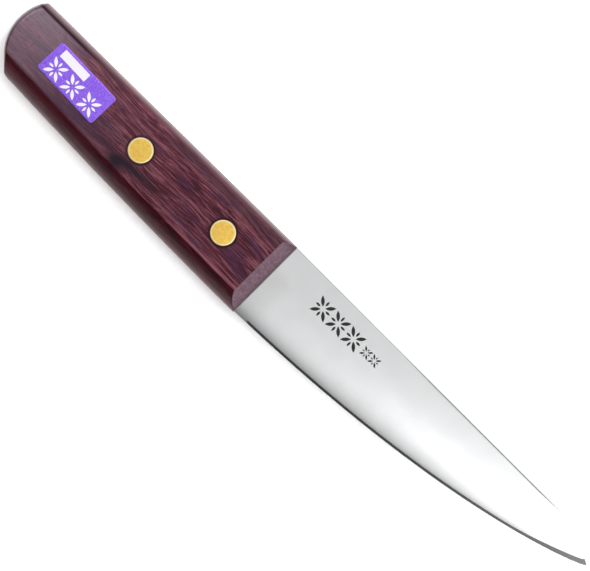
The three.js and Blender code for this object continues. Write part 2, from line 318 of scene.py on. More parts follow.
SPINE_STEPS = 6
FACE_STEPS = 44
FACE_CROWDING = 1.6  # above 1, the steps down the face are closer near the bevel
BEVEL_STEPS = 5
SIDE_COUNT = 1 + SPINE_STEPS + 1 + FACE_STEPS + BEVEL_STEPS
FACE_END = SIDE_COUNT - 1 - BEVEL_STEPS  # where the bevel starts on the front
BACK_BEVEL_END = SIDE_COUNT + BEVEL_STEPS


def bevel_height(x):
    return lerp(BEVEL_HEIGHT, TIP_BEVEL_HEIGHT, smoothstep(TIP_BEVEL_X, BLADE_LENGTH, x))


def spine_easing(x):
    """How much of SPINE_ROUNDING there is at x."""
    heel, outer, tip = SPINE_SHARES
    widened = lerp(heel, outer, smoothstep(*SPINE_WIDENS, x))
    return lerp(widened, tip, smoothstep(*SPINE_NARROWS, x))


def face_curve(height, half, bevel_half):
    """A function that gives how far out a face is, at some height above its bevel.

    The face curves from the spine to the bevel, and runs on straight under it.
    """
    last = min(LAST_CURVE, ROUNDING_LIMIT * (half - bevel_half))
    main = half - bevel_half - last
    edge_slope = GRIND_POWER * main / height + last / LAST_CURVE_REACH

    def face_z(above):
        if above < 0:
            return bevel_half + edge_slope * above
        ground = half - main * (1 - above / height) ** GRIND_POWER
        return ground - last * math.exp(-above / LAST_CURVE_REACH)

    return face_z


def blade_side(x, bevel_share):
    """Half a section of the blade, from the middle of the spine to the edge, as (y, z) pairs.

    The bevel is cut out of the face along BEVEL_RUN_IN. A share below 1 makes it smaller.
    """
    spine, edge = spine_y(x), edge_y(x)
    bevel = min(bevel_height(x), BEVEL_LIMIT * (spine - edge))
    height = spine - edge - bevel
    bevel_half = SHARP_EDGE_HALF + BEVEL_SLOPE * bevel
    half = min(lerp(BLADE_HALF, TIP_HALF, x / BLADE_LENGTH), bevel_half + BEVEL_SLOPE * height)
    face_z = face_curve(height, half, bevel_half)
    down, into = (min(size * spine_easing(x), ROUNDING_LIMIT * height) for size in SPINE_ROUNDING)
    points = [(spine, 0)]
    for angle in spaced(0, math.pi / 2, SPINE_STEPS):
        y = spine - down * (1 - math.cos(angle))
        points.append((y, face_z(y - edge - bevel) - into * (1 - math.sin(angle))))
    lowest = bevel * (bevel_share - 1)
    for share in spaced(1, 0, FACE_STEPS)[1:]:
        above = lerp(lowest, height - down, share**FACE_CROWDING)
        points.append((edge + bevel + above, face_z(above)))
    edge_half = lerp(face_z(-bevel), SHARP_EDGE_HALF, smoothstep(*BEVEL_RUN_IN, x))
    for share in spaced(1, 0, BEVEL_STEPS)[1:]:
        y = lerp(edge, edge + bevel + lowest, share)
        points.append((y, lerp(edge_half, face_z(lowest), share)))
    return points


def blade_ring(x):
    """A section of the blade, with a narrower bevel on the back."""
    front = blade_side(x, 1.0)
    back = blade_side(x, BACK_BEVEL_SHARE)
    across = front + [(y, -z) for y, z in reversed(back[1:])]
    return [(x, y, z) for y, z in across]


def blade_slot(i):
    if FACE_END <= i < BACK_BEVEL_END:
        return BEVEL_SLOT
    if i <= SPINE_STEPS or i >= 2 * SIDE_COUNT - 2 - SPINE_STEPS:
        return SPINE_SLOT
    return FACE_SLOT


def make_blade():
    """The blade ahead of the handle. Sections lie closer where the bevel comes in and at the tip."""
    gap = 0.1
    stations = [
        *spaced(BLADE_START_X, BEVEL_RUN_IN[0] - gap, 6),
        *spaced(*BEVEL_RUN_IN, 8),
        *spaced(BEVEL_RUN_IN[1] + gap, SPINE_ARC_START_X, 110),
        *spaced(SPINE_ARC_START_X, BLADE_END_X, 60)[1:],
    ]
    sharp = (FACE_END, SIDE_COUNT - 1, SIDE_COUNT, BACK_BEVEL_END)
    return loft("steel_blade", [blade_ring(x) for x in stations], sharp, blade_slot)


def make_tang():
    """The tang: its back lies along the top of the handle, its belly along the floor of the kerf."""
    sweep = math.asin((TANG_LENGTH + SAW_X) / SAW_RADIUS)
    root_x = BLADE_START_X + FIT  # only just inside the blade, whose face slopes in under the tang's
    shoulder_y = SPINE_Y - SPINE_ROUNDING[0]
    outline = [
        (root_x, TANG_BELLY_Y),
        (root_x, shoulder_y),
        (-FIT, shoulder_y),
        (-FIT, handle_top_y(0) - FIT),
        (-TANG_LENGTH, handle_top_y(-TANG_LENGTH) - FIT),
        *saw_arc(SAW_RADIUS, sweep, 0),
    ]
    tang = plate("tang", outline, TANG_HALF)
    tang.data.polygons.foreach_set("material_index", [SPINE_SLOT] * len(tang.data.polygons))
    return tang


def tang_hole(end):
    """What is cut out of the tang for the front or rear rivet's tube."""
    x, y, _ = rivet_centre(end)
    radius = RIVET_TUBE_RADIUS + FIT
    out = 5  # past both faces of the tang
    return turned("hole", [(0, -out), (radius, -out), (radius, out), (0, out)], x, y)


# ---- Handle ----

LOWER_SWEEP = math.radians(75)  # the angle that the lower shoulder turns through
UPPER_SWEEP_FRONT = math.radians(88)
UPPER_SWEEP_BUTT = math.radians(78)
UPPER_SWEEP_CHANGE = (-60, -105)  # where the upper shoulder's angle changes
CREASE_WIDTH = 0.2
BUTT_ROUNDING = (0.9, 1.8)  # how wide the butt's rim is rounded over, below and above
BUTT_ROUNDING_CHANGE = (-8, 6)  # the heights between which it changes
BUTT_FULLNESS = 2.5  # the power of the superellipse that rounds it
BUTT_RIM_WIDTH = 0.5
BUTT_CORNER_WIDTHS = (0.6, 1.0)  # over what width its outline meets the top and the belly
CHAMFER_CREASE_WIDTH = 0.25
NOSE_LENGTH = 0.9  # the steep strip between the chamfer and the steel
NOSE_SLOPE = 2.4
KERF_OVERCUT = 3  # how far the tools that cut the kerf and the bores reach out of the wood
BORE_OVERCUT = 1
KERF_RUN_OUT = 24  # how far the kerf goes on behind the tang, along the top

UPPER_STEPS, FLAT_STEPS, LOWER_STEPS = 18, 36, 24
LEAST_SHOULDERS = (0.06, 0.12)  # the least shares of a section's height for its shoulders' steps


def shoulder_z(depth, tall, sweep):
    """How far out the rounded shoulder reaches at a depth under the top or belly line."""
    height = tall / (1 - math.cos(sweep))
    cosine = 1 - min(depth / height, 1)
    return HANDLE_HALF / math.sin(sweep) * math.sqrt(1 - cosine * cosine)


def butt_distance(x, y):
    """How far out from the middle of the butt a place lies: BUTT_RADIUS on its outline.

    Toward the belly the round runs on straight at 45 degrees, and a flat cuts off its upper corner.
    """
    back, up = BUTT_CENTRE[0] - x, y - BUTT_CENTRE[1]
    if -up > back:
        return (back - up) * math.sqrt(0.5)
    return max(math.hypot(back, up), (back + up) * math.sqrt(0.5) + BUTT_CORNER_CUT)


def butt_rim_z(x, y):
    """How far out the rounded rim of the butt lets the handle reach."""
    rounding = lerp(*BUTT_ROUNDING, smoothstep(*BUTT_ROUNDING_CHANGE, y))
    into = min(max((butt_distance(x, y) - BUTT_RADIUS + rounding) / rounding, 0), 1)
    return HANDLE_HALF * (1 - into**BUTT_FULLNESS) ** (1 / BUTT_FULLNESS)


def handle_z(x, y):
    """Half the handle's thickness at a place on its side: flats, shoulders, butt and chamfer."""
    sweep = lerp(UPPER_SWEEP_FRONT, UPPER_SWEEP_BUTT, smoothstep(*UPPER_SWEEP_CHANGE, x))
    upper = shoulder_z(max(handle_top_y(x) - y, 0), UPPER_SHOULDER, sweep)
    lower = shoulder_z(max(y - handle_belly_y(x), 0), LOWER_SHOULDER, LOWER_SWEEP)
    z = smooth_min(HANDLE_HALF, min(upper, lower), CREASE_WIDTH)
    if x < BUTT_CENTRE[0]:
        rim = butt_rim_z(x, y)
        z = smooth_min(z, rim, BUTT_RIM_WIDTH) if rim < HANDLE_HALF else z
    chamfer_z = HANDLE_HALF - CHAMFER_SLOPE * (x + CHAMFER_LENGTH)
    nose_top_z = HANDLE_HALF - CHAMFER_SLOPE * (CHAMFER_LENGTH - NOSE_LENGTH)
    nose_z = nose_top_z - NOSE_SLOPE * (x + NOSE_LENGTH)
    for limit in (chamfer_z, nose_z):
        z = smooth_min(z, limit, CHAMFER_CREASE_WIDTH)
    return max(z, 0)


def handle_limits(x):
    """The top and the belly of the handle's outline at x, with the butt's round and its flats."""
    top, belly = handle_top_y(x), handle_belly_y(x)
    if x < BUTT_CENTRE[0]:
        back = BUTT_CENTRE[0] - x
        chord = math.sqrt(max(BUTT_RADIUS**2 - back**2, 0))
        flat = math.sqrt(2) * (BUTT_RADIUS - BUTT_CORNER_CUT) - back
        run = math.sqrt(2) * BUTT_RADIUS - back if chord > back else chord
        top = smooth_min(top, BUTT_CENTRE[1] + min(chord, flat), BUTT_CORNER_WIDTHS[0])
        belly = -smooth_min(-belly, run - BUTT_CENTRE[1], BUTT_CORNER_WIDTHS[1])
    return top, belly


def handle_ring(x):
    """The handle's outline across the knife at x: down one side and up the other."""
    top, belly = handle_limits(x)
    least_upper, least_lower = (share * (top - belly) for share in LEAST_SHOULDERS)
    upper = top - min(handle_top_y(x) - UPPER_SHOULDER, top - least_upper)
    lower = max(handle_belly_y(x) + LOWER_SHOULDER, belly + least_lower) - belly
    levels = [top - upper * (1 - math.cos(a)) for a in spaced(0, math.pi / 2, UPPER_STEPS)]
    levels += spaced(top - upper, belly + lower, FLAT_STEPS)[1:]
    levels += [belly + lower * (1 - math.sin(a)) for a in spaced(0, math.pi / 2, LOWER_STEPS)][1:]
    side = [(y, handle_z(x, y)) for y in levels]
    side[0] = (top, 0)
    side[-1] = (belly, 0)
    around = side + [(y, -z) for y, z in reversed(side[1:-1])]
    return [(x, y, z) for y, z in around]


def kerf_tool():
    """What the saw takes out of the handle for the tang and the filler."""
    radius = SAW_RADIUS + FIT
    above = HANDLE_TOP_FRONT_Y + KERF_OVERCUT
    outline = [
        (KERF_OVERCUT, TANG_BELLY_Y - FIT),
        (KERF_OVERCUT, above),
        *saw_arc(radius, saw_angle_at(above, radius), 0),
    ]
    return plate("kerf", outline, TANG_HALF + FIT)


def bore_tool(end):
    """The stepped bore of the front or rear rivet, with a seat for a head on both sides."""
    x, y, _ = rivet_centre(end)
    seat = rivet_radius(end) + FIT
    bore = RIVET_TUBE_RADIUS + FIT
    depth = HANDLE_HALF - RIVET_HEAD_HEIGHT - FIT
    out = HANDLE_HALF + BORE_OVERCUT
    profile = [(0, -out), (seat, -out), (seat, -depth), (bore, -depth)]
    profile += [(radius, -z) for radius, z in reversed(profile)]
    return turned("bore", profile, x, y)


def make_handle():
    """The handle: sections lie closer around the butt and along the chamfer."""
    angles = spaced(math.radians(1.5), math.pi / 2, 56)
    chamfer_start = -CHAMFER_LENGTH - 1
    stations = [
        *[BUTT_CENTRE[0] - BUTT_RADIUS * math.cos(a) for a in angles],
        *spaced(BUTT_CENTRE[0], chamfer_start, 70)[1:],
        *spaced(chamfer_start, 0, 34)[1:],
    ]
    handle = loft("rosewood_handle", [handle_ring(x) for x in stations])
    cut(handle, "DIFFERENCE", kerf_tool(), *[bore_tool(end) for end in RIVETS])
    smooth_shaded(handle, 32)
    return handle


def make_filler():
    """The strip that closes the kerf behind the tang, and follows the saw's arc up to the top."""
    start = -TANG_LENGTH - FIT
    deep = math.asin((SAW_X - start) / SAW_RADIUS)
    shallow = saw_angle_at(handle_top_y(start - KERF_RUN_OUT) - FIT, SAW_RADIUS)
    outline = [(start, handle_top_y(start) - FIT), *saw_arc(SAW_RADIUS, shallow, deep)]
    filler = plate("kerf_filler_strip", outline, TANG_HALF)
    smooth_shaded(filler, 30)
    return filler


# ---- Rivets ----

HEAD_EASE = (0.32, 0.224)  # how far the eased rim of a head reaches in and down
HEAD_CROWN = 0.06
HEAD_SINK = 0.03  # how far the middle of a head stays under the face of the wood
HEAD_STEPS = 10


def head_profile(radius, top):
    """The visible face of a rivet head, from the rim in to the middle: eased rim, faint crown."""
    inward, down = HEAD_EASE
    profile = []
    for angle in spaced(0, math.pi / 2, HEAD_STEPS):
        r = radius - inward * (1 - math.cos(angle))
        profile.append((r, top - HEAD_CROWN - down * (1 - math.sin(angle))))
    for share in spaced(1, 0, HEAD_STEPS)[1:]:
        profile.append(((radius - inward) * share, top - HEAD_CROWN * share * share))
    return profile


def make_rivet(end):
    """The halves of a rivet by node: the male one's pin fills the female one's tube."""
    x, y, _ = rivet_centre(end)
    radius = rivet_radius(end) - FIT / 2
    underside = HANDLE_HALF - RIVET_HEAD_HEIGHT
    reach = underside - FIT
    pin, bore, tube = RIVET_PIN_RADIUS, RIVET_PIN_RADIUS + FIT, RIVET_TUBE_RADIUS
    face = head_profile(radius, HANDLE_HALF - HEAD_SINK)
    male = [(0, -reach), (pin, -reach), (pin, underside), (radius, underside), *face]
    female = [
        *[(r, -z) for r, z in reversed(face)],
        (radius, -underside),
        (tube, -underside),
        (tube, reach),
        (bore, reach),
        (bore, -underside),
        (0, -underside),
    ]
    halves = {}
    for node, profile in ((f"{end}_rivet_male", male), (f"{end}_rivet_female", female)):
        half = turned(f"{node}_half", profile, x, y)
        smooth_shaded(half, 40)
        halves[node] = half
    return halves


# ---- Label ----

LABEL_THICKNESS = 0.1
LABEL_SHELF = 0.06  # the height at which its edge starts to ease
LABEL_EASE = 0.06  # how far in the edge is eased
LABEL_STEPS = (56, 26)


def on_label(u, v, lift):
    """A point of the label's rectangle, pulled in to its round corners and lifted off the handle."""
    corner_u, corner_v = (size / 2 - LABEL_CORNER for size in LABEL_SIZE)
    out_u, out_v = max(abs(u) - corner_u, 0), max(abs(v) - corner_v, 0)
    if out_u > 0 and out_v > 0:
        pull = max(out_u, out_v) / math.hypot(out_u, out_v)
        u = math.copysign(corner_u + out_u * pull, u)
        v = math.copysign(corner_v + out_v * pull, v)
    cos, sin = math.cos(LABEL_TILT), math.sin(LABEL_TILT)
    x = LABEL_CENTRE[0] + u * cos - v * sin
    y = LABEL_CENTRE[1] + u * sin + v * cos
    return place(x, y, HANDLE_HALF + lift)


def rim_of(rows):
    """The points around a grid, in order."""
    right = [row[-1] for row in rows[:-1]]
    left = [row[0] for row in rows[:0:-1]]
    return rows[0][:-1] + right + rows[-1][:0:-1] + left


def make_label():
    """A thin sheet with round corners and eased edges that lies on the side of the handle."""
    bm = bmesh.new()
    us, vs = (spaced(-size / 2, size / 2, steps) for size, steps in zip(LABEL_SIZE, LABEL_STEPS))

    def grid(lift, inset=1.0):
        return [[on_label(u * inset, v * inset, lift) for u in us] for v in vs]

    def sheet(rows):
        return [[bm.verts.new(point) for point in row] for row in rows]

    bottom = sheet(grid(0.0))
    shelf = [bm.verts.new(point) for point in rim_of(grid(LABEL_SHELF))]
    top = sheet(grid(LABEL_THICKNESS, 1 - LABEL_EASE / (LABEL_SIZE[1] / 2)))
    for rows, turn in ((bottom, -1), (top, 1)):
        for row, next_row in zip(rows, rows[1:]):
            for i in range(len(us) - 1):
                bm.faces.new((row[i], row[i + 1], next_row[i + 1], next_row[i])[::turn])
    for lower, upper in ((rim_of(bottom), shelf), (shelf, rim_of(top))):
        for i in range(len(lower)):
            j = (i + 1) % len(lower)
            bm.faces.new((lower[i], lower[j], upper[j], upper[i]))
    label = piece_of(bm, "violet_label")
    smooth_shaded(label, 40)
    return label


# ---- Node helpers ----


class Nodes:
    """A node tree, written as calls that return sockets."""

    def __init__(self, tree):
        self.tree = tree

    def add(self, kind, inputs=(), output=0, **settings):
        """A new node: inputs maps socket names or numbers to values or sockets."""
        made = self.tree.nodes.new(kind)
        for name, value in settings.items():
            setattr(made, name, value)
        for socket, value in dict(inputs).items():
            self.set(made.inputs[socket], value)
        return made.outputs[output]

    def set(self, socket, value):
        if isinstance(value, bpy.types.NodeSocket):
            self.tree.links.new(value, socket)
        else:
            socket.default_value = value

    def math(self, operation, a, b=0.0, c=0.0):
        return self.add("ShaderNodeMath", {0: a, 1: b, 2: c}, operation=operation)

    def plus(self, a, b):
        return self.math("ADD", a, b)

    def minus(self, a, b):
        return self.math("SUBTRACT", a, b)

    def times(self, a, b):
        return self.math("MULTIPLY", a, b)

    def absolute(self, a):
        return self.math("ABSOLUTE", a)

    def split(self, vector):
        node = self.tree.nodes.new("ShaderNodeSeparateXYZ")
        self.tree.links.new(vector, node.inputs[0])
        return node.outputs

    def moved(self, vector, offset):
        return self.add("ShaderNodeVectorMath", {0: vector, 1: offset}, operation="ADD")

    def stretch(self, vector, scale):
        return self.add("ShaderNodeVectorMath", {0: vector, 1: scale}, operation="MULTIPLY")

    def noise(self, vector, scale, detail, roughness, output=0):
        inputs = {"Vector": vector, "Scale": scale, "Detail": detail, "Roughness": roughness}
        return self.add("ShaderNodeTexNoise", inputs, output=output)

    def streaks(self, vector, scale, detail, roughness, output=0):
        """Noise that varies along X, Y and Z as fast as the three numbers of the scale say."""
        return self.noise(self.stretch(vector, scale), 1.0, detail, roughness, output)

    def band(self, value, low, high, start=0.0, end=1.0):
        """Maps low..high to start..end smoothly, and holds the ends."""
        inputs = {"Value": value, "From Min": low, "From Max": high, "To Min": start, "To Max": end}
        return self.add("ShaderNodeMapRange", inputs, interpolation_type="SMOOTHSTEP")

    def spot(self, coordinates, centre, reach):
        """1 at a centre, fading to 0 over a reach, with one number for each coordinate in both."""
        away = 0.0
        for value, middle, size in zip(coordinates, centre, reach):
            step = self.math("DIVIDE", self.minus(value, middle), size)
            away = self.plus(away, self.times(step, step))
        return self.math("EXPONENT", self.times(away, -1.0))

    def mix(self, factor, a, b):
        inputs = {0: factor, 6: a, 7: b}
        return self.add("ShaderNodeMix", inputs, output=2, data_type="RGBA", clamp_factor=True)

    def ramp(self, value, stops):
        node = self.tree.nodes.new("ShaderNodeValToRGB")
        elements = node.color_ramp.elements
        elements[0].position = stops[0][0]
        elements[-1].position = stops[-1][0]
        for position, _ in stops[1:-1]:
            elements.new(position)
        for element, (_, color) in zip(elements, stops):
            element.color = (*color, 1)
        self.tree.links.new(value, node.inputs[0])
        return node.outputs[0]

    def bump(self, height, strength, distance_mm):
        inputs = {"Height": height, "Strength": strength, "Distance": distance_mm * MM}
        return self.add("ShaderNodeBump", inputs)


class Shader(Nodes):
    """A material's nodes, with the place on the knife in millimetres of its own frame."""

    def __init__(self, name):
        self.material = bpy.data.materials.new(name)
        self.material.use_nodes = True
        super().__init__(self.material.node_tree)
        here = self.add("ShaderNodeTexCoord", output="Object")
        moved = self.add("ShaderNodeVectorMath", {0: here, 1: ORIGIN}, operation="SUBTRACT")
        self.position = self.add("ShaderNodeVectorMath", {0: moved, "Scale": 1 / MM}, operation="SCALE")
        self.x, self.y, self.z = self.split(self.position)

    def finish(self, **inputs):
        """Sets inputs of the surface by their names in lower case, and gives the material."""
        surface = self.tree.nodes["Principled BSDF"]
        for name, value in inputs.items():
            self.set(surface.inputs[name.replace("_", " ").title().replace("Ior", "IOR")], value)
        return self.material

    def zone(self, x_range, y_range, start=0.0, end=1.0):
        """0 to 1 over a range of X, times start to end over a range of Y."""
        return self.times(self.band(self.x, *x_range), self.band(self.y, *y_range, start, end))

    def rivet_distance(self):
        """The distance from the axis of the nearer rivet, in millimetres."""
        front, rear = (rivet_centre(end) for end in RIVETS)
        along = self.absolute(self.minus(self.x, (front.x + rear.x) / 2))
        along = self.minus(along, (front.x - rear.x) / 2)
        across = self.minus(self.y, front.y)
        return self.math("SQRT", self.plus(self.times(along, along), self.times(across, across)))


def srgb(red, green, blue):
    """A colour given as 0 to 255 on screen, as the linear colour that a shader takes."""
    channels = (red / 255, green / 255, blue / 255)
    return tuple(c / 12.92 if c <= 0.04045 else ((c + 0.055) / 1.055) ** 2.4 for c in channels)


def rgba(red, green, blue):
    return (*srgb(red, green, blue), 1)


# ---- Ornament: a row of plain eight-petal rosettes, as a mask ----

LONG_PETAL = (0.1, 0.62, 0.085)  # start, end and half width, as shares of the rosette's size
SHORT_PETAL = (0.16, 0.44, 0.055)


def petal(shader, u, v, size, shape):
    """1 inside a pointed leaf that lies along u."""
    start, end, half_width = (share * size for share in shape)
    t = shader.math("DIVIDE", shader.minus(u, (start + end) / 2), (end - start) / 2)
    edge = shader.times(shader.minus(1.0, shader.times(t, t)), half_width)
    return shader.math("LESS_THAN", v, edge)


def rosette_row(shader, along, across, start, pitch, count, size):
    """1 inside the petals of a row of rosettes, 0 outside. All lengths are millimetres.

    One petal of each kind is drawn: mirroring and turning every cell of the row gives the others.
    """
    run = shader.minus(along, start)
    cell = shader.math("FLOORED_MODULO", run, pitch)
    u = shader.absolute(shader.minus(cell, pitch / 2))
    v = shader.absolute(across)
    diagonal_u = shader.times(shader.plus(u, v), math.sqrt(0.5))
    diagonal_v = shader.absolute(shader.times(shader.minus(u, v), math.sqrt(0.5)))
    straight_u = shader.math("MAXIMUM", u, v)
    straight_v = shader.math("MINIMUM", u, v)
    long_petals = petal(shader, diagonal_u, diagonal_v, size, LONG_PETAL)
    short_petals = petal(shader, straight_u, straight_v, size, SHORT_PETAL)
    both = shader.math("MAXIMUM", long_petals, short_petals)
    before = shader.math("GREATER_THAN", run, 0.0)
    after = shader.math("LESS_THAN", run, pitch * count)
    return shader.times(both, shader.times(before, after))


# ---- Steel ----

# Rows of rosettes: where they start along the knife, from cell to cell, how many, and how large.
MARK_LARGE = {"start": 17.6, "pitch": 7.5, "count": 3, "size": 7.6}
MARK_LARGE_Y = 6.45
MARK_SMALL = {"start": 40.9, "pitch": 4.0, "count": 2, "size": 4.1}
MARK_SMALL_Y = 6.25


def etched_mark(shader):
    """1 inside the ornament on the upper face of the blade."""
    large = rosette_row(shader, shader.x, shader.minus(shader.y, MARK_LARGE_Y), **MARK_LARGE)
    small = rosette_row(shader, shader.x, shader.minus(shader.y, MARK_SMALL_Y), **MARK_SMALL)
    upper_side = shader.math("GREATER_THAN", shader.z, 0.0)
    return shader.times(shader.math("MAXIMUM", large, small), upper_side)


def steel_face():
    """Satin steel with faint cross grinding, soft mottling, painted shade on the lower heel beside the
    handle, and the etched ornament.
    """
    shader = Shader("satin_steel")
    mottle = shader.noise(shader.position, 0.14, 2, 0.5)
    lines = shader.streaks(shader.position, (9.0, 0.35, 1.0), 3, 0.6)
    fine = shader.streaks(shader.position, (30.0, 1.2, 1.0), 2, 0.5)
    tone = shader.ramp(mottle, [(0.3, (0.6, 0.605, 0.61)), (0.7, (0.625, 0.63, 0.635))])
    steel = shader.mix(shader.times(lines, 0.2), tone, (0.68, 0.685, 0.69, 1))
    # painted shade: the lower heel next to the handle is darker steel
    steel = shader.mix(shader.zone((12, 1), (8, 2), 0.0, 0.5), steel, (0.5, 0.5, 0.505, 1))
    mark = etched_mark(shader)
    color = shader.mix(mark, steel, rgba(22, 22, 24))
    roughness = shader.plus(0.17, shader.times(mark, 0.35))
    metal = shader.minus(1.0, shader.times(mark, 0.9))
    relief = shader.minus(shader.times(fine, 0.3), shader.times(mark, 0.6))
    normal = shader.bump(relief, 0.12, 0.02)
    return shader.finish(base_color=color, metallic=metal, roughness=roughness, normal=normal)


def steel_bevel():
    """The honed bevel: darker, with scratches square to the edge."""
    shader = Shader("honed_bevel")
    scratches = shader.streaks(shader.position, (14.0, 0.8, 0.8), 3, 0.6)
    color = shader.ramp(scratches, [(0.3, (0.34, 0.345, 0.35)), (0.75, (0.5, 0.505, 0.51))])
    normal = shader.bump(scratches, 0.15, 0.02)
    return shader.finish(base_color=color, metallic=1.0, roughness=0.24, normal=normal)


def steel_spine():
    """The spine and the back of the tang: coarser belt marks along the knife."""
    shader = Shader("belt_ground_steel")
    marks = shader.streaks(shader.position, (0.25, 6.0, 9.0), 4, 0.6)
    color = shader.ramp(marks, [(0.3, (0.26, 0.265, 0.27)), (0.75, (0.42, 0.425, 0.43))])
    normal = shader.bump(marks, 0.25, 0.03)
    return shader.finish(base_color=color, metallic=1.0, roughness=0.34, normal=normal)


# ---- Rosewood ----

KNOT = (-66.5, -8.8)
KNOT_REACH = (4, 2.6)
KNOT_TAIL = (-59, -6.2)  # the dark streak that runs from the knot toward the blade
KNOT_TAIL_REACH = (11, 1.8)
BENT_REACH = (10, 5)  # how far around the knot the grain bends
BENT_BY = -2.5
BROAD_GRAIN = (0.014, 0.16, 0.12)  # how fast each kind of grain varies along X, Y and Z
STREAK_GRAIN = (0.03, 0.95, 0.8)
THREAD_GRAIN = (0.11, 3.5, 3.2)
PORE_GRAIN = (0.42, 6.5, 6.5)
THREAD_CONTRAST = 1.45
RIVET_SHADE_RADII = (4.7, 6.0)  # the radii between which the painted shade around a rivet fades
CREASE_HIGHLIGHT_Y = HANDLE_BELLY_Y + LOWER_SHOULDER + 0.55  # a painted highlight just above the lower crease
CREASE_HIGHLIGHT_X = (-48, -30)  # where that painted highlight comes in on the way to the blade
CREASE_SHADE_Y = HANDLE_TOP_BUTT_Y - UPPER_SHOULDER + 0.5  # painted shade: a dark line along the upper crease at the butt
CREASE_SHADE_X = (-86, -106)  # where that painted shade comes in on the way to the butt
PAINTED_LIGHT_ZONES = (  # painted shade and painted sheen: a range of X, a range of Y, how much before and after that range of Y, and the tint
    # painted shade: the lower half darker from X -64 back to the butt, where the sheen is weaker
    ((-64, -80), (5, -5), (0.1, 0.65), rgba(50, 30, 48)),
    # painted sheen: a greyish lilac over the butt, strongest toward the top
    ((-94, -116), (-5, 10), (0.25, 0.85), rgba(92, 74, 88)),
    # painted shade: a darker band just below the upper crease, from X -66 on toward the blade
    ((-66, -52), (8, 11.5), (0.0, 0.65), rgba(58, 38, 50)),
)


